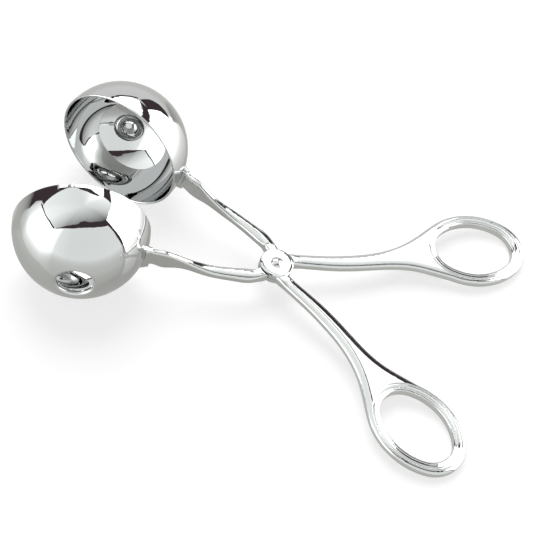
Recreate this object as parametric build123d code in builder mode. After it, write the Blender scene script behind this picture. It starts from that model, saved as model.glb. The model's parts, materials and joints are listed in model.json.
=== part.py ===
"""Meatball tongs: two scissor levers on one rivet, each with a round bowl.

Both bowls are the same pressing. The levers are a pair of castings: the upper
one is the lower one turned over about the long axis, but its neck rises the
other way, so that both bowls sit level above the levers. A lever is drawn in
its own frame with the tongs closed: the pivot axis is Z through the origin,
its bowl lies towards -X with the mouth towards +Y, and its finger ring lies
towards +X. The finished tongs lie at rest, open, on the plane Z = 0, with the
handles towards +X. All sizes are millimetres.
"""
from build123d import *
from math import asin, atan2, copysign, cos, degrees, hypot, radians, sin
import os

# Bowls, pressed from sheet
bowl_diameter = 46.0
bowl_wall = 0.8
bowl_reach = 67.0
bowl_lift = 3.0
bowl_band = 1.55
rim_gap = 0.3
hole_diameter = 12.2
lip_bend = 0.25
lip_height = 0.5

# Pivot
disc_diameter = 11.5
disc_thickness = 2.2
disc_bevel = 0.35
lap_gap = 0.1
lap_clearance = 0.35
recess_bevel = 0.4
rivet_diameter = 3.0
rivet_clearance = 0.05
rivet_head_diameter = 4.3
rivet_head_height = 0.95
head_clearance = 0.05
open_swing = 15.1

# Shank, web and finger ring
lever_thickness = 3.9
ring_reach = 70.4
ring_offset = 21.75
ring_turn = 14.5
opening_length = 28.6
opening_width = 21.0
ring_side_width = 3.9
ring_end_width = 4.6
shank_round = 1.15
opening_round = 0.6
outer_groove_inset = 2.45
outer_groove_radius = 0.55
outer_groove_depth = 0.35
inner_groove_inset = 1.1
inner_groove_radius = 0.3
inner_groove_depth = 0.2

# Arm and neck
arm_offset = 7.1
arm_width = 4.6
neck_width = 2.2
neck_height = 9.4
neck_rise = 1.9
weld_reach = 1.6
weld_spread = 0.8
weld_gap = 0.08
overrun = 2.0

# Points along the two edges of shank and web, as shares of ring_reach and ring_offset
outer_edge_shares = [(0.019, 0.214), (0.121, 0.267), (0.261, 0.345), (0.369, 0.431),
                     (0.478, 0.548), (0.637, 0.843), (0.726, 1.118)]
inner_edge_shares = [(0.816, 0.382), (0.7, 0.411), (0.6, 0.373), (0.457, 0.253),
                     (0.287, 0.128), (0.106, 0.055), (0.021, 0.017)]
outer_shank_slope_share = 0.16
inner_shank_slope_share = 0.13
outer_join_turn = 116.0
inner_join_turn = -115.0

# Sections of the arm: shares of arm_length, arm_offset, neck_rise, arm_width and
# lever_thickness, then the corner as a share of the section's smaller side
arm_shares = [(0.073, 0.469, 0.0, 0.957, 1.0, 0.3), (0.196, 0.837, 0.0, 1.0, 1.0, 0.3),
              (0.298, 0.915, 0.0, 0.957, 0.99, 0.3), (0.402, 0.959, 0.0, 0.87, 0.95, 0.3),
              (0.507, 0.968, 0.06, 0.793, 0.92, 0.32), (0.607, 0.932, 0.24, 0.63, 0.96, 0.36)]
# Sections of the neck: the same, with neck_width and neck_height
neck_shares = [(0.686, 0.906, 0.5, 1.09, 0.46, 0.4), (0.775, 0.911, 0.76, 1.0, 0.64, 0.42),
               (0.875, 0.939, 0.92, 0.97, 0.82, 0.42), (1.0, 1.0, 1.0, 1.0, 1.0, 0.42)]

bowl_radius = bowl_diameter / 2
inner_radius = bowl_radius - bowl_wall
disc_radius = disc_diameter / 2
disc_face = disc_thickness + lap_gap / 2
recess_radius = disc_radius + lap_clearance
half_thickness = lever_thickness / 2
rivet_radius = rivet_diameter / 2
bowl_drop = bowl_band + rim_gap / 2
neck_seat = hypot(arm_offset - bowl_drop, bowl_lift - neck_rise)
arm_length = bowl_reach - (bowl_radius**2 - neck_seat**2) ** 0.5
ring_plane = Plane((ring_reach, ring_offset, 0), x_dir=(cos(radians(ring_turn)), sin(radians(ring_turn)), 0))
ring_end = opening_length / 2 + ring_end_width
ring_side = opening_width / 2 + ring_side_width


def oval_sizes(half_length, half_width):
    """Radii and centre distances of an oval's end and side arcs, and the normal where they meet."""
    diagonal = hypot(half_length, half_width)
    surplus = half_length - half_width
    end_radius = diagonal * (diagonal - surplus) / (2 * half_length)
    side_radius = diagonal * (diagonal + surplus) / (2 * half_width)
    end_shift = half_length - end_radius
    side_shift = side_radius - half_width
    return end_radius, side_radius, end_shift, side_shift, degrees(atan2(side_shift, end_shift))


def oval(half_length, half_width, start=None, stop=None):
    """Four tangent arcs, or those between two turns of their normal."""
    end_radius, side_radius, end_shift, side_shift, meet = oval_sizes(half_length, half_width)
    turns = (-meet, meet, 180 - meet, 180 + meet, 360 - meet)
    if start is not None:
        turns = (start, -meet, meet, stop)
    arcs = []
    for low, high in zip(turns, turns[1:]):
        middle = radians(low + high) / 2
        centre, radius = (0, copysign(side_shift, -sin(middle))), side_radius
        if abs(cos(middle)) > cos(radians(meet)):
            centre, radius = (copysign(end_shift, cos(middle)), 0), end_radius
        arcs.append(CenterArc(centre, radius, low, high - low))
    return arcs


def bowl():
    """Half ball round the origin, a band up to its mouth at +Y, a lipped hole at its pole."""
    hole_radius = hole_diameter / 2
    bend_radius = hole_radius + bowl_wall + lip_bend
    bend_y = -((inner_radius - lip_bend) ** 2 - bend_radius**2) ** 0.5
    bend_turn = degrees(atan2(bend_y, bend_radius))
    rim_y = bowl_band - bowl_wall / 2
    lip_y = bend_y + lip_height
    with BuildPart() as shell:
        with BuildSketch():
            with BuildLine():
                CenterArc((0, 0), bowl_radius, bend_turn, -bend_turn)
                Line((bowl_radius, 0), (bowl_radius, rim_y))
                ThreePointArc((bowl_radius, rim_y), (bowl_radius - bowl_wall / 2, bowl_band),
                              (inner_radius, rim_y))
                Line((inner_radius, rim_y), (inner_radius, 0))
                CenterArc((0, 0), inner_radius, 0, bend_turn)
                CenterArc((bend_radius, bend_y), lip_bend, bend_turn, -180 - bend_turn)
                Line((hole_radius + bowl_wall, bend_y), (hole_radius + bowl_wall, lip_y))
                ThreePointArc((hole_radius + bowl_wall, lip_y),
                              (hole_radius + bowl_wall / 2, lip_y + bowl_wall / 2),
                              (hole_radius, lip_y))
                Line((hole_radius, lip_y), (hole_radius, bend_y))
                CenterArc((bend_radius, bend_y), lip_bend + bowl_wall, -180, 180 + bend_turn)
            make_face()
        revolve(axis=Axis.Y)
    return shell.part


def grip():
    """Shank, web and finger ring, drawn as one outline with rounded edges."""
    outer = [(a * ring_reach, b * ring_offset) for a, b in outer_edge_shares]
    inner = [(a * ring_reach, b * ring_offset) for a, b in inner_edge_shares]
    with BuildLine(ring_plane) as outside:
        arcs = oval(ring_end, ring_side, inner_join_turn, outer_join_turn)
    web_in, web_out = arcs[-1] @ 1, arcs[0] @ 0
    with BuildPart() as body:
        with BuildSketch():
            with BuildLine():
                add(outside.line)
                Spline(*outer, web_in, tangents=[(1, outer_shank_slope_share), arcs[-1] % 1 * -1])
                Spline(web_out, *inner, tangents=[arcs[0] % 0 * -1, (-1, -inner_shank_slope_share)])
                Line(inner[-1], outer[0])
            make_face()
        extrude(amount=half_thickness, both=True)
        rims = body.faces().filter_by(Axis.Z).edges()
        fillet(rims - rims.filter_by(GeomType.LINE), shank_round)
        with BuildSketch(ring_plane):
            with BuildLine():
                oval(opening_length / 2, opening_width / 2)
            make_face()
        extrude(amount=half_thickness, both=True, mode=Mode.SUBTRACT)
        fillet(body.edges(Select.LAST).filter_by(Plane.XY), opening_round)
        for side in (-1, 1):
            ring_groove(side, outer_groove_inset, outer_groove_radius, outer_groove_depth)
            ring_groove(side, inner_groove_inset, inner_groove_radius, inner_groove_depth)
    return body.part


def ring_groove(side, inset, radius, depth):
    """Cut a round groove into one face of the ring, a set inset from its opening."""
    with BuildLine(ring_plane.offset(side * (half_thickness + radius - depth))) as track:
        oval(opening_length / 2 + inset, opening_width / 2 + inset)
    with BuildSketch(track.line ^ 0) as section:
        Circle(radius)
    sweep(section.sketch, path=track.line, mode=Mode.SUBTRACT)


def arm_sections(side):
    """Centre, width, height and corner of each section from the pivot to the bowl."""
    sections = []
    for along, aside, up, wide, high, corner in arm_shares:
        sections.append((along, aside, up, wide * arm_width, high * lever_thickness, corner))
    for along, aside, up, wide, high, corner in neck_shares:
        sections.append((along, aside, up, wide * neck_width, high * neck_height, corner))
    return [(Vector(-along * arm_length, -aside * arm_offset, side * up * neck_rise), width, height,
             corner * min(width, height)) for along, aside, up, width, height, corner in sections]


def arm(side):
    """Arm and neck, lofted along a bent line and spread where the bowl is welded on."""
    sections = arm_sections(side)
    centres = [section[0] for section in sections]
    with BuildPart() as body:
        for i, (centre, width, height, corner) in enumerate(sections):
            heading = centres[min(i + 1, len(centres) - 1)] - centres[max(i - 1, 0)]
            heading = Vector(heading.X, heading.Y, 0)
            with BuildSketch(Plane(centre, x_dir=heading.cross(Vector(0, 0, 1)), z_dir=heading)):
                RectangleRounded(width, height, corner)
        loft()
        for reach, spread in ((-weld_reach, 0), (-weld_reach / 3, weld_spread / 3),
                              (weld_reach, weld_spread)):
            centre = centres[-1] + heading.normalized() * reach
            with BuildSketch(Plane(centre, x_dir=heading.cross(Vector(0, 0, 1)), z_dir=heading)):
                RectangleRounded(width + 2 * spread, height + 2 * spread, corner + spread)
        loft()
        with Locations((-bowl_reach, -bowl_drop, side * bowl_lift)):
            Sphere(bowl_radius + weld_gap, mode=Mode.SUBTRACT)
    return body.part


def lever(side):
    """A casting whose neck rises to one side: grip and arm joined by half of the lapped pivot."""
    with BuildPart() as casting:
        add(grip())
        add(arm(side))
        with BuildSketch(Plane.XZ):
            bevel_end = recess_radius + recess_bevel + overrun
            Polygon((0, -lap_gap / 2), (recess_radius, -lap_gap / 2),
                    (recess_radius, half_thickness - recess_bevel),
                    (bevel_end, half_thickness + overrun), (0, half_thickness + overrun), align=None)
        revolve(axis=Axis.Z, mode=Mode.SUBTRACT)
        with BuildSketch(Plane.XZ):
            Polygon((0, -lap_gap / 2), (disc_radius, -lap_gap / 2),
                    (disc_radius, disc_bevel - disc_face), (disc_radius - disc_bevel, -disc_face),
                    (0, -disc_face), align=None)
        revolve(axis=Axis.Z)
        with Locations((0, 0, half_thickness)):
            Hole(rivet_radius + rivet_clearance)
    return casting.part


def rivet_form():
    """Plain shank with a domed head on each side."""
    head_radius = rivet_head_diameter / 2
    seat = disc_face + head_clearance
    dome_radius = (head_radius**2 + rivet_head_height**2) / (2 * rivet_head_height)
    dome_turn = degrees(asin(head_radius / dome_radius))
    with BuildPart() as pin:
        Cylinder(rivet_radius, 2 * seat)
        with BuildSketch(Plane.XZ):
            with BuildLine():
                dome = CenterArc((0, seat + rivet_head_height - dome_radius), dome_radius,
                                 90 - dome_turn, dome_turn)
                Polyline(dome @ 1, (0, seat), dome @ 0)
            make_face()
        revolve(axis=Axis.Z)
        mirror(about=Plane.XY)
    return pin.part


# Tilt at rest: the bowls and the ends of the rings touch the table
reach_x = bowl_reach * cos(radians(open_swing)) - bowl_drop * sin(radians(open_swing))
end_radius, _, end_shift, _, _ = oval_sizes(ring_end, ring_side)
tip_x = (hypot(ring_reach, ring_offset) * cos(atan2(ring_offset, ring_reach) + radians(open_swing))
         + end_shift * cos(radians(ring_turn + open_swing)) + end_radius - shank_round)
tip_z = bowl_lift + half_thickness - shank_round
tilt = asin((bowl_radius - shank_round) / hypot(reach_x + tip_x, tip_z)) - atan2(tip_z, reach_x + tip_x)
bowl_form, lower_form, upper_form = bowl(), lever(1), lever(-1)
lower_seat = Location((-bowl_reach, -bowl_drop, bowl_lift))
upper_seat = Location((-bowl_reach, -bowl_drop, -bowl_lift))


def planes(pivot):
    """Planes of the tongs, the lower lever and the upper lever, for a given pivot point."""
    tongs = Plane(pivot, x_dir=(cos(tilt), 0, -sin(tilt)), z_dir=(sin(tilt), 0, cos(tilt)))
    lower = tongs.location * Rotation(0, 0, open_swing)
    upper = tongs.location * Rotation(180, 0, open_swing)
    return tongs, Plane(lower), Plane(upper)


def extent():
    """Bounding box of the tongs with the pivot at the origin."""
    _, lower, upper = planes((0, 0, 0))
    placed = [lower.location * lower_form, lower.location * lower_seat * bowl_form,
              upper.location * upper_form, upper.location * upper_seat * bowl_form]
    return Compound(children=placed).bounding_box()


box = extent()
tongs_plane, lower_plane, upper_plane = planes((-box.center().X, 0, -box.min.Z))

with BuildPart(lower_plane) as lower_lever:
    add(lower_form)

with BuildPart(upper_plane) as upper_lever:
    add(upper_form)

with BuildPart(lower_plane) as front_bowl:
    with Locations(lower_seat):
        add(bowl_form)

with BuildPart(upper_plane) as rear_bowl:
    with Locations(upper_seat):
        add(bowl_form)

with BuildPart(tongs_plane) as rivet:
    add(rivet_form())

os.makedirs("parts", exist_ok=True)
for name, piece in (("lower_lever", lower_lever), ("upper_lever", upper_lever),
                    ("front_bowl", front_bowl), ("rear_bowl", rear_bowl),
                    ("pivot_rivet", rivet)):
    piece.part.label = name
    export_step(piece.part, f"parts/{name}.step")

print("tilt at rest, degrees:", round(degrees(tilt), 3))
print("pivot point:", tongs_plane.origin, "pivot axis:", tongs_plane.z_dir)
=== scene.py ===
"""Meatball tongs of polished chrome, lying open on a pale floor in a photo studio.

Lengths are in metres. The tongs lie along X with their bowls at the low end, +Z is up.
"""

import json
import math

import bmesh
import bpy
from mathutils import Matrix, Vector
from mathutils.bvhtree import BVHTree


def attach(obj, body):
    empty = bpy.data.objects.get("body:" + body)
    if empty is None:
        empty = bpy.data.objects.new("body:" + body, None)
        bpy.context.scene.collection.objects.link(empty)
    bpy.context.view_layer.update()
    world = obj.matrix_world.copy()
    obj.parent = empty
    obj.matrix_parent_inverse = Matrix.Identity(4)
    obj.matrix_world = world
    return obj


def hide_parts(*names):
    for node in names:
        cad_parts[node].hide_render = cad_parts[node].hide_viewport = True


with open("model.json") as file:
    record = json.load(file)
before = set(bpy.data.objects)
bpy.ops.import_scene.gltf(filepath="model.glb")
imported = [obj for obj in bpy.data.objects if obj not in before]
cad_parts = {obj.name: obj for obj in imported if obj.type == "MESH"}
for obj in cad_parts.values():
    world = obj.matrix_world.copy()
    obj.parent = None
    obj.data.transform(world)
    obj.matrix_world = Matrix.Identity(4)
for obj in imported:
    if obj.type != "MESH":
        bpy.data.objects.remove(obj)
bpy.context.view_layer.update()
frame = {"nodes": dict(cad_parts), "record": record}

# Camera: where it looks, from which side, and how far it stands away
AIM = Vector((0.00042, -0.00247, 0.01339))
LOOK_AZIMUTH = math.radians(-8.178)
LOOK_DOWN = math.radians(52.592)
LOOK_ROLL = math.radians(11.650)
LOOK_DISTANCE = 0.664
LENS = 132.99
SENSOR = 36.0
NEAREST = 0.01
FARTHEST = 100.0

# Studio: its middle lies at the height of the bowls, its softboxes stand this far out, and the dark gaps
# between them stand a little nearer
STUDIO_CENTRE = Vector((-0.060, 0.0, 0.023))
STUDIO_RADIUS = 3.0
GAP_RADIUS = 2.9
CARD_COLUMNS = 120
CARD_ROWS = 12

# Light of the studio, where 1 is white: softboxes, the top of the one overhead and how it falls off from
# there, gaps, and the room as a lamp
BOX_STRENGTH = 3.2
ZENITH_STRENGTH = 1.05
OVERHEAD_FADE = 0.75
GAP_STRENGTH = 0.05
ROOM_LIGHT = 0.45
COOL = (0.97, 1.0, 0.995)
WARM = (0.99, 1.0, 0.95)
DARK = (1.15, 0.85, 0.95)
PLAIN = (1.0, 1.0, 1.0)

# Floor as the metal shows it: its tone, a painted shadow under the bowls (a darker tone, and the distances
# between which it changes), and its gloss. As the camera sees it: its paint, and the glow that lifts it to
# white
FLOOR_SIZE = 8.0
FLOOR_TONE = 0.62
PAINTED_SHADOW_TONE = 0.43
PAINTED_SHADOW_PLACE = (-0.050, 0.0, 0.0)
PAINTED_SHADOW_EDGES = (0.025, 0.085)
FLOOR_GLOSS = 0.12
FLOOR_INDEX = 1.5
FLOOR_PAINT = 0.5
FLOOR_GLOW = 0.65

# Lamp: azimuth, elevation and distance from the middle of the studio, its width and its watts
LAMP_AZIMUTH = -150
LAMP_ELEVATION = 65
LAMP_DISTANCE = 1.3
LAMP_WIDTH = 1.0
LAMP_POWER = 9.0

# Texture of the chrome, in features per metre: its cloudiness, the wiping marks and the grain
CLOUD_SCALE = 90
CLOUD_DETAIL = 3
WIPE_SCALE = 260
WIPE_DETAIL = 6
WIPE_BREAK = 0.7
RIPPLE_DETAIL = 2
GRAIN_SCALE = 3000
GRAIN_DETAIL = 2
GRAIN_HEIGHT = 0.0000004

# Crown of a lever: it starts this far in from an edge, bends until it is this far in, and slopes steadily
# from there. It grows between two distances from the pivot, on the arm it ends between two more, and on
# the rounded sides it grows between two heights from the lever's middle plane
CROWN_REACH = 0.0026
CROWN_TURN = 0.0016
CROWN_SLOPE = 0.24
CROWN_START = (0.0065, 0.0095)
CROWN_END = (0.020, 0.028)
CROWN_HEIGHTS = (0.0005, 0.00195)

# Crown of the disc at the pivot: its width in from the rim, the fall as a share of that width squared,
# and the height from the middle plane above which a point is on the outer face
DISC_RADIUS = 0.00575
DISC_CROWN = 0.0011
DISC_FALL = 180.0
DISC_HEIGHT = 0.0020

# Mesh of a crowned lever: the cells that its faces are cut in, the nearest that a cut passes a point,
# what counts as a face or a wall by its height and how level it lies, and the sharpest smooth edge
CELL = 0.0005
CUT_REACH = 1e-8
FACE_HEIGHT = 0.0014
FACE_LEVEL = 0.97
WALL_LEVEL = 0.15
CREASE = math.radians(35)


def direction(azimuth, elevation):
    """A direction from the tongs: azimuth in degrees from -Y towards +X, elevation above the horizon."""
    turn = math.radians(azimuth)
    rise = math.radians(elevation)
    return Vector((math.sin(turn) * math.cos(rise), -math.cos(turn) * math.cos(rise), math.sin(rise)))


def along(path, share):
    """The values at a share of the way along a path, with the same share for each of its runs."""
    place = share * (len(path) - 1)
    run = min(int(place), len(path) - 2)
    return blend(path[run], path[run + 1], place - run)


def blend(one, other, share):
    """Values between two corners."""
    return [a + (b - a) * share for a, b in zip(one, other)]


def tree(material):
    """The nodes and a linker of an emptied material or world."""
    material.use_nodes = True
    material.node_tree.nodes.clear()
    return material.node_tree.nodes, material.node_tree.links.new


def seen_by_camera_or_metal(nodes, link):
    """One for camera, glossy and transmission rays, and zero for the rest."""
    path = nodes.new("ShaderNodeLightPath")
    first = nodes.new("ShaderNodeMath")
    first.operation = "MAXIMUM"
    link(path.outputs["Is Camera Ray"], first.inputs[0])
    link(path.outputs["Is Glossy Ray"], first.inputs[1])
    both = nodes.new("ShaderNodeMath")
    both.operation = "MAXIMUM"
    link(first.outputs[0], both.inputs[0])
    link(path.outputs["Is Transmission Ray"], both.inputs[1])
    return both.outputs[0]


def noise(nodes, link, vector, scale, detail, roughness=0.5):
    """A noise texture on that vector, and its value."""
    texture = nodes.new("ShaderNodeTexNoise")
    texture.inputs["Scale"].default_value = scale
    texture.inputs["Detail"].default_value = detail
    texture.inputs["Roughness"].default_value = roughness
    link(vector, texture.inputs["Vector"])
    return texture.outputs["Fac"]


def spread(nodes, link, value, low, high, start=0.3, end=0.7):
    """The value turned into a range from low to high."""
    turned = nodes.new("ShaderNodeMapRange")
    turned.inputs["From Min"].default_value = start
    turned.inputs["From Max"].default_value = end
    turned.inputs["To Min"].default_value = low
    turned.inputs["To Max"].default_value = high
    link(value, turned.inputs["Value"])
    return turned.outputs["Result"]


def tinted(nodes, link, value, dark, light):
    """A colour between dark and light, chosen by the value."""
    mix = nodes.new("ShaderNodeMix")
    mix.data_type = "RGBA"
    mix.inputs["A"].default_value = (*dark, 1)
    mix.inputs["B"].default_value = (*light, 1)
    link(value, mix.inputs["Factor"])
    return mix.outputs["Result"]


def bumped(nodes, link, height, distance, under=None):
    """A bump of that height, in metres, on top of another one."""
    bump = nodes.new("ShaderNodeBump")
    bump.inputs["Distance"].default_value = distance
    bump.inputs["Strength"].default_value = 1.0
    link(height, bump.inputs["Height"])
    if under is not None:
        link(under, bump.inputs["Normal"])
    return bump.outputs["Normal"]


def smooth_step(value, start, end):
    """Zero before start, one after end, and a soft rise between them."""
    share = min(max((value - start) / (end - start), 0.0), 1.0)
    return share * share * (3 - 2 * share)


def level_lever():
    """The turn and shift that bring the pivot to the origin and the levers' middle plane to level."""
    pivot = frame["record"]["behaviour"]["joints"][0]
    turn = Vector(pivot["axis"]).rotation_difference(Vector((0, 0, 1)))
    return turn.to_matrix().to_4x4() @ Matrix.Translation(-Vector(pivot["pos_m"]))


def cut_across(bm, faces, normal, place):
    """Cuts the faces by the plane across that normal at that place, and gives the faces that they become."""
    parts = dict.fromkeys(faces)
    for face in faces:
        parts.update(dict.fromkeys(face.edges))
        parts.update(dict.fromkeys(face.verts))
    spot = normal * place
    cut = bmesh.ops.bisect_plane(bm, geom=list(parts), dist=CUT_REACH, plane_co=spot, plane_no=normal)
    return [part for part in cut["geom"] if isinstance(part, bmesh.types.BMFace)]


def cut_in_cells(bm, faces, axis):
    """Cuts the faces by a row of planes across that axis, so that they can take a curve."""
    normal = Vector((0, 0, 0))
    normal[axis] = 1
    place = min(vert.co[axis] for face in faces for vert in face.verts)
    ahead = list(faces)
    done = []
    while ahead:
        place += CELL
        crossed = []
        later = []
        for face in ahead:
            spots = [vert.co[axis] for vert in face.verts]
            if min(spots) >= place:
                later.append(face)
            elif max(spots) <= place:
                done.append(face)
            else:
                crossed.append(face)
        ahead = later
        for part in cut_across(bm, crossed, normal, place):
            beyond = part.calc_center_median()[axis] > place
            (ahead if beyond else done).append(part)
    return done


def edge_fall(inward):
    """How far a lever's face falls at a distance in from its edge."""
    bend = CROWN_REACH - CROWN_TURN
    into_bend = min(max(CROWN_REACH - inward, 0), bend)
    return CROWN_SLOPE * (into_bend**2 / (2 * bend) + max(CROWN_TURN - inward, 0))


def disc_fall(reach, height):
    """How far the disc's outer face falls at a distance from the pivot."""
    if height <= DISC_HEIGHT:
        return 0
    return DISC_FALL * max(DISC_CROWN - (DISC_RADIUS - reach), 0) ** 2


def crowned_share(point, reach, height):
    """How much of the crown a point of a lever has: all on the grip and the arm, none at disc and neck."""
    share = smooth_step(reach, *CROWN_START)
    if point.x < 0:
        share *= 1 - smooth_step(reach, *CROWN_END)
    low, high = CROWN_HEIGHTS
    return share * min(max((height - low) / (high - low), 0), 1)


def crown(point, walls):
    """How far the surface falls at a point of a lever: most at its edges, and none at its middle line."""
    reach = math.hypot(point.x, point.y)
    height = abs(point.z)
    if reach < DISC_RADIUS:
        fall = disc_fall(reach, height)
    else:
        inward = walls.find_nearest(Vector((point.x, point.y, 0)))[3]
        fall = edge_fall(inward) * crowned_share(point, reach, height)
    return math.copysign(fall, point.z)


def tree_of_walls(bm):
    """The lever's walls, to look up how far away they are. The faces are triangles still."""
    sides = [face for face in bm.faces if abs(face.normal.z) < WALL_LEVEL]
    corners = [vert.co.copy() for face in sides for vert in face.verts]
    triangles = [(3 * i, 3 * i + 1, 3 * i + 2) for i in range(len(sides))]
    return BVHTree.FromPolygons(corners, triangles)


def is_flat(face):
    """Whether a face is part of the lever's level top or bottom."""
    return abs(face.normal.z) > FACE_LEVEL and abs(face.calc_center_median().z) > FACE_HEIGHT


def crowned_mesh(name):
    """The mesh of a lever, with faces that fall off towards their edges."""
    bm = bmesh.new()
    bm.from_mesh(frame["nodes"][name].data)
    bm.transform(level_lever())
    bm.normal_update()
    walls = tree_of_walls(bm)
    flats = [face for face in bm.faces if is_flat(face)]
    for axis in (0, 1):
        flats = cut_in_cells(bm, flats, axis)
    bmesh.ops.triangulate(bm, faces=[face for face in bm.faces if len(face.verts) > 3])
    for vert in bm.verts:
        vert.co.z -= crown(vert.co, walls)
    bm.transform(level_lever().inverted())
    bm.normal_update()
    mesh = bpy.data.meshes.new(name + "_polished")
    bm.to_mesh(mesh)
    bm.free()
    return mesh


def crowned_lever(name, body):
    """The lever as a casting that was polished on a wheel, which leaves its faces crowned."""
    mesh = crowned_mesh(name)
    mesh.polygons.foreach_set("use_smooth", [True] * len(mesh.polygons))
    mesh.set_sharp_from_angle(angle=CREASE)
    mesh.materials.append(bpy.data.materials["cast_chrome"])
    piece = bpy.data.objects.new(name + "_polished", mesh)
    bpy.context.scene.collection.objects.link(piece)
    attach(piece, body)
    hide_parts(name)


def chrome(name, dark, light, smooth, dull, ripple, ripple_scale):
    """Polished chrome: faintly cloudy, with wiping marks in its gloss over the ripple of the metal."""
    material = bpy.data.materials.new(name)
    nodes, link = tree(material)
    place = nodes.new("ShaderNodeTexCoord").outputs["Object"]
    shader = nodes.new("ShaderNodeBsdfPrincipled")
    shader.inputs["Metallic"].default_value = 1.0
    cloud = noise(nodes, link, place, CLOUD_SCALE, CLOUD_DETAIL)
    link(tinted(nodes, link, cloud, dark, light), shader.inputs["Base Color"])
    wipe = noise(nodes, link, place, WIPE_SCALE, WIPE_DETAIL, WIPE_BREAK)
    link(spread(nodes, link, wipe, smooth, dull), shader.inputs["Roughness"])
    waves = noise(nodes, link, place, ripple_scale, RIPPLE_DETAIL)
    grain = noise(nodes, link, place, GRAIN_SCALE, GRAIN_DETAIL)
    normal = bumped(nodes, link, waves, ripple)
    normal = bumped(nodes, link, grain, GRAIN_HEIGHT, normal)
    link(normal, shader.inputs["Normal"])
    output = nodes.new("ShaderNodeOutputMaterial")
    link(shader.outputs["BSDF"], output.inputs["Surface"])
    return material


def finish_nodes():
    """Puts a finish on each node of the tongs."""
    cast = chrome(
        "cast_chrome", dark=(0.655, 0.66, 0.655), light=(0.70, 0.705, 0.695),
        smooth=0.04, dull=0.09, ripple=0.000016, ripple_scale=160,
    )
    pressed = chrome(
        "pressed_chrome", dark=(0.66, 0.665, 0.665), light=(0.69, 0.695, 0.695),
        smooth=0.015, dull=0.04, ripple=0.000004, ripple_scale=60,
    )
    headed = chrome(
        "headed_chrome", dark=(0.65, 0.65, 0.64), light=(0.70, 0.70, 0.69),
        smooth=0.04, dull=0.12, ripple=0.000008, ripple_scale=400,
    )
    finishes = {
        "lower_lever": cast,
        "upper_lever": cast,
        "front_bowl": pressed,
        "rear_bowl": pressed,
        "pivot_rivet": headed,
    }
    for name, material in finishes.items():
        node = frame["nodes"][name]
        for slot in node.material_slots:
            slot.material = material


def card_light(name, colour):
    """The light of a card, which each corner's strength gives. 1 is white."""
    material = bpy.data.materials.new(name)
    nodes, link = tree(material)
    strength = nodes.new("ShaderNodeAttribute")
    strength.attribute_name = "strength"
    light = nodes.new("ShaderNodeEmission")
    light.inputs["Color"].default_value = (*colour, 1)
    link(strength.outputs["Fac"], light.inputs["Strength"])
    output = nodes.new("ShaderNodeOutputMaterial")
    link(light.outputs["Emission"], output.inputs["Surface"])
    return material


def card(name, one_edge, other_edge, colour, reach=STUDIO_RADIUS, fade=1.0):
    """A card between two edges that only reflections show. A corner is (azimuth, elevation, strength)."""
    points = []
    strengths = []
    faces = []
    for column in range(CARD_COLUMNS + 1):
        one = along(one_edge, column / CARD_COLUMNS)
        other = along(other_edge, column / CARD_COLUMNS)
        for row in range(CARD_ROWS + 1):
            share = row / CARD_ROWS
            azimuth, elevation, _ = blend(one, other, share)
            points.append(STUDIO_CENTRE + direction(azimuth, elevation) * reach)
            strengths.append(one[2] + (other[2] - one[2]) * share**fade)
            if column and row:
                here = len(points) - 1
                before = here - CARD_ROWS - 1
                faces.append((before - 1, here - 1, here, before))
    mesh = bpy.data.meshes.new(name)
    mesh.from_pydata(points, [], faces)
    mesh.attributes.new("strength", "FLOAT", "POINT").data.foreach_set("value", strengths)
    mesh.materials.append(card_light(name + "_light", colour))
    sheet = bpy.data.objects.new(name, mesh)
    bpy.context.scene.collection.objects.link(sheet)
    sheet.visible_camera = False
    sheet.visible_diffuse = False
    sheet.visible_shadow = False


def gap(name, one_edge, other_edge):
    """A dark gap between two edges, each a path of (azimuth, elevation). It stands before the softboxes."""
    edges = [[(*corner, GAP_STRENGTH) for corner in edge] for edge in (one_edge, other_edge)]
    card(name, *edges, DARK, GAP_RADIUS)


def box(name, one_edge, other_edge):
    """A softbox of even strength between two edges."""
    card(name, *[[(*corner, BOX_STRENGTH) for corner in edge] for edge in (one_edge, other_edge)], PLAIN)


def build_overhead():
    """The softbox overhead, brightest at its left and rear edges and dimmest at the slot in front."""
    left = [(-87, 23, 1.3), (-77, 26, 1.45), (-59, 31, 1.4), (-42, 32, 0.9)]
    front = [(-22, 46, 0.3), (7, 57, 0.15), (38, 60, 0.12), (65, 55, 0.1), (88, 49, 0.1)]
    right = [(107, 50, 0.8), (142, 41, 1.5), (152, 43, 2.2)]
    rear = [(165, 46, 2.3), (172, 48, 2.2), (177, 55, 1.6), (188, 57, 1.3), (208, 56, 1.1), (223, 51, 1.1),
            (241, 43, 1.15), (260, 32, 1.25), (273, 23, 1.3)]
    rim = left + front + right + rear
    top = [(azimuth, 90, ZENITH_STRENGTH) for azimuth, _, _ in rim]
    card("overhead_softbox", rim, top, COOL, fade=OVERHEAD_FADE)


def build_front():
    """The wall in front, with the softbox that stands before its left end."""
    card(
        "front_wall",
        [(-95, -0.4, 0.9), (-86, -0.4, 1.2), (-75, -0.4, 3.2), (-42, -0.4, 3.2), (-22, -0.4, 1.15),
         (0, -0.4, 1.0), (42, -0.4, 1.0), (86, -0.4, 1.05)],
        [(-95, 21, 1.1), (-86, 25, 1.45), (-75, 28, 3.2), (-42, 33, 3.2), (-22, 46, 1.1),
         (0, 54, 0.98), (42, 57, 0.98), (86, 43, 1.0)],
        COOL,
    )


def build_right():
    """The softbox on the right."""
    box(
        "right_softbox",
        [(87, 48), (107, 50), (128, 46), (142, 41), (159, 37)],
        [(87, -0.4), (107, -0.4), (128, -0.4), (142, -0.4), (152, -0.4)],
    )


def build_rear():
    """The softbox behind, between the notch and the hook of the dark frame."""
    box(
        "rear_softbox",
        [(177, 33), (184, 32), (190, 31), (196, 31), (212, 30), (236, 28)],
        [(166, 45), (174, 48), (178, 57), (190, 59), (212, 56), (240, 42)],
    )


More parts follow.
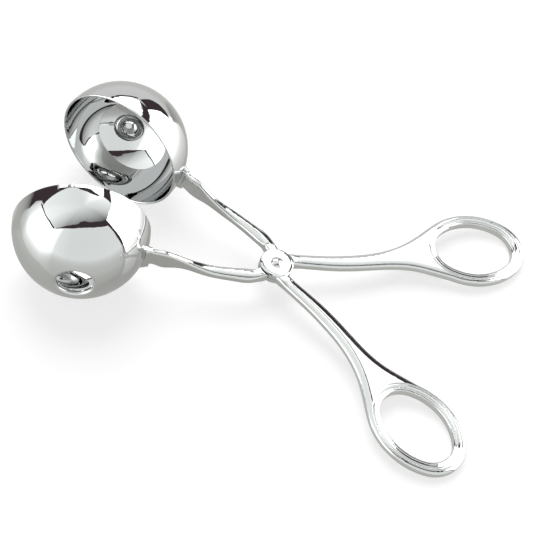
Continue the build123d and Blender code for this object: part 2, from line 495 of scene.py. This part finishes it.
def build_gaps():
    """The dark gaps between the softboxes."""
    gap(
        "slot",
        [(-41, 32), (-30, 42), (-23, 49), (-9, 56), (6, 60), (11, 64), (27, 66), (41, 63), (64, 59),
         (84, 51), (89, 49)],
        [(-41, 31), (-28, 41), (-19, 46), (-10, 49), (5, 53), (10, 54), (26, 55), (40, 54), (60, 50),
         (78, 43), (83, 41)],
    )
    gap("right_gap", [(89, 50), (87, 32), (88, 14), (88, 0)], [(82, 42), (83, 30), (83, 18), (85, 0)])
    gap(
        "left_gap",
        [(-94, 20), (-81, 26), (-73, 28), (-56, 32), (-41, 31)],
        [(-89, 25), (-80, 28), (-71, 30), (-56, 34), (-40, 34)],
    )
    gap(
        "rear_gap",
        [(156, 60), (168, 63), (179, 63.5), (188, 62.5), (197, 61.5), (208, 59.5), (223, 53.5), (241, 45),
         (252, 40), (260, 35), (271, 26)],
        [(155, 57), (168, 58), (179, 58), (188, 58), (197, 57.7), (208, 55.5), (223, 50), (238, 41),
         (245, 38), (248, 34), (263, 24)],
    )
    gap(
        "notch",
        [(-126, 29), (-115, 39), (-89, 27), (-97, 21), (-99, 11), (-95, -0.4)],
        [(-124, 22), (-121, 18), (-120, 13), (-119, 8), (-119, 4), (-118, -0.4)],
    )
    gap(
        "hook_bar",
        [(178, 29), (172, 14), (165, 7), (157, 4), (149, 2)],
        [(158, 37), (156, 27), (154, 16), (151, 11), (148, 2)],
    )
    gap("hook_leg", [(177, 33), (163, 44), (148, 53)], [(163, 35), (148, 41), (131, 45)])
    gap(
        "rear_edge",
        [(181, 29), (196, 32), (212, 31), (240, 28)],
        [(181, 26), (196, 28), (212, 27), (240, 25)],
    )


def build_studio():
    """The softboxes and the dark gaps between them, as the metal shows them."""
    build_overhead()
    build_front()
    build_right()
    build_rear()
    build_gaps()


def floor_as_lit(nodes, link):
    """The floor to the camera and to the light: pale paint that keeps the shadow, lifted to white."""
    paint = nodes.new("ShaderNodeBsdfDiffuse")
    paint.inputs["Color"].default_value = (FLOOR_PAINT, FLOOR_PAINT, FLOOR_PAINT, 1)
    glow = nodes.new("ShaderNodeEmission")
    strength = nodes.new("ShaderNodeMath")
    strength.operation = "MULTIPLY"
    strength.inputs[1].default_value = FLOOR_GLOW
    link(seen_by_camera_or_metal(nodes, link), strength.inputs[0])
    link(strength.outputs[0], glow.inputs["Strength"])
    both = nodes.new("ShaderNodeAddShader")
    link(paint.outputs["BSDF"], both.inputs[0])
    link(glow.outputs["Emission"], both.inputs[1])
    return both.outputs["Shader"]


def floor_in_metal(nodes, link):
    """The floor as the metal shows it: a painted shadow makes it darker under the bowls, and it is glossy
    enough to mirror the studio.
    """
    tone = nodes.new("ShaderNodeEmission")
    tone.inputs["Color"].default_value = (*WARM, 1)
    away = nodes.new("ShaderNodeVectorMath")
    away.operation = "DISTANCE"
    away.inputs[1].default_value = PAINTED_SHADOW_PLACE
    link(nodes.new("ShaderNodeNewGeometry").outputs["Position"], away.inputs[0])
    # painted shadow: the floor's glow in the metal is darker near the bowls and brightens with distance from
    # them
    shade = spread(nodes, link, away.outputs["Value"], PAINTED_SHADOW_TONE, FLOOR_TONE, *PAINTED_SHADOW_EDGES)
    link(shade, tone.inputs["Strength"])
    gloss = nodes.new("ShaderNodeBsdfGlossy")
    gloss.inputs["Color"].default_value = (*PLAIN, 1)
    gloss.inputs["Roughness"].default_value = FLOOR_GLOSS
    share = nodes.new("ShaderNodeFresnel")
    share.inputs["IOR"].default_value = FLOOR_INDEX
    both = nodes.new("ShaderNodeMixShader")
    link(share.outputs["Fac"], both.inputs[0])
    link(tone.outputs["Emission"], both.inputs[1])
    link(gloss.outputs["BSDF"], both.inputs[2])
    return both.outputs["Shader"]


def build_floor():
    """A pale floor, which shows the shadow of the tongs."""
    bpy.ops.mesh.primitive_plane_add(size=FLOOR_SIZE)
    floor = bpy.context.object
    floor.name = "floor"
    material = bpy.data.materials.new("floor_paint")
    nodes, link = tree(material)
    either = nodes.new("ShaderNodeMixShader")
    link(nodes.new("ShaderNodeLightPath").outputs["Is Glossy Ray"], either.inputs[0])
    link(floor_as_lit(nodes, link), either.inputs[1])
    link(floor_in_metal(nodes, link), either.inputs[2])
    output = nodes.new("ShaderNodeOutputMaterial")
    link(either.outputs["Shader"], output.inputs["Surface"])
    floor.data.materials.append(material)


def build_world():
    """A white room: plain white to the camera and the metal, and a little less as a light."""
    world = bpy.data.worlds.new("room")
    bpy.context.scene.world = world
    nodes, link = tree(world)
    room = nodes.new("ShaderNodeBackground")
    mask = seen_by_camera_or_metal(nodes, link)
    link(spread(nodes, link, mask, ROOM_LIGHT, 1.0, 0.0, 1.0), room.inputs["Strength"])
    output = nodes.new("ShaderNodeOutputWorld")
    link(room.outputs["Background"], output.inputs["Surface"])


def build_lamp():
    """A large soft lamp overhead, which lights the floor and gives the soft shadow."""
    data = bpy.data.lights.new("soft_lamp", "AREA")
    data.shape = "DISK"
    data.size = LAMP_WIDTH
    data.energy = LAMP_POWER
    lamp = bpy.data.objects.new("soft_lamp", data)
    side = direction(LAMP_AZIMUTH, LAMP_ELEVATION)
    lamp.location = STUDIO_CENTRE + side * LAMP_DISTANCE
    lamp.rotation_mode = "QUATERNION"
    lamp.rotation_quaternion = side.to_track_quat("Z", "Y")
    lamp.visible_glossy = False
    bpy.context.scene.collection.objects.link(lamp)


def build_camera():
    """The camera, at the photograph's angle."""
    down = math.cos(LOOK_DOWN)
    forward = Vector((math.sin(LOOK_AZIMUTH) * down, math.cos(LOOK_AZIMUTH) * down, -math.sin(LOOK_DOWN)))
    level = Vector((math.cos(LOOK_AZIMUTH), -math.sin(LOOK_AZIMUTH), 0))
    above = level.cross(forward)
    right = level * math.cos(LOOK_ROLL) + above * math.sin(LOOK_ROLL)
    up = right.cross(forward)
    data = bpy.data.cameras.new("camera")
    data.sensor_width = SENSOR
    data.lens = LENS
    data.clip_start = NEAREST
    data.clip_end = FARTHEST
    camera = bpy.data.objects.new("camera", data)
    turn = Matrix((right, up, -forward)).transposed()
    camera.matrix_world = Matrix.Translation(AIM - forward * LOOK_DISTANCE) @ turn.to_4x4()
    bpy.context.scene.collection.objects.link(camera)
    bpy.context.scene.camera = camera


finish_nodes()
crowned_lever("lower_lever", "lower_half")
crowned_lever("upper_lever", "upper_half")
build_world()
build_floor()
build_studio()
build_lamp()
build_camera()
bpy.context.scene.view_settings.view_transform = "Standard"
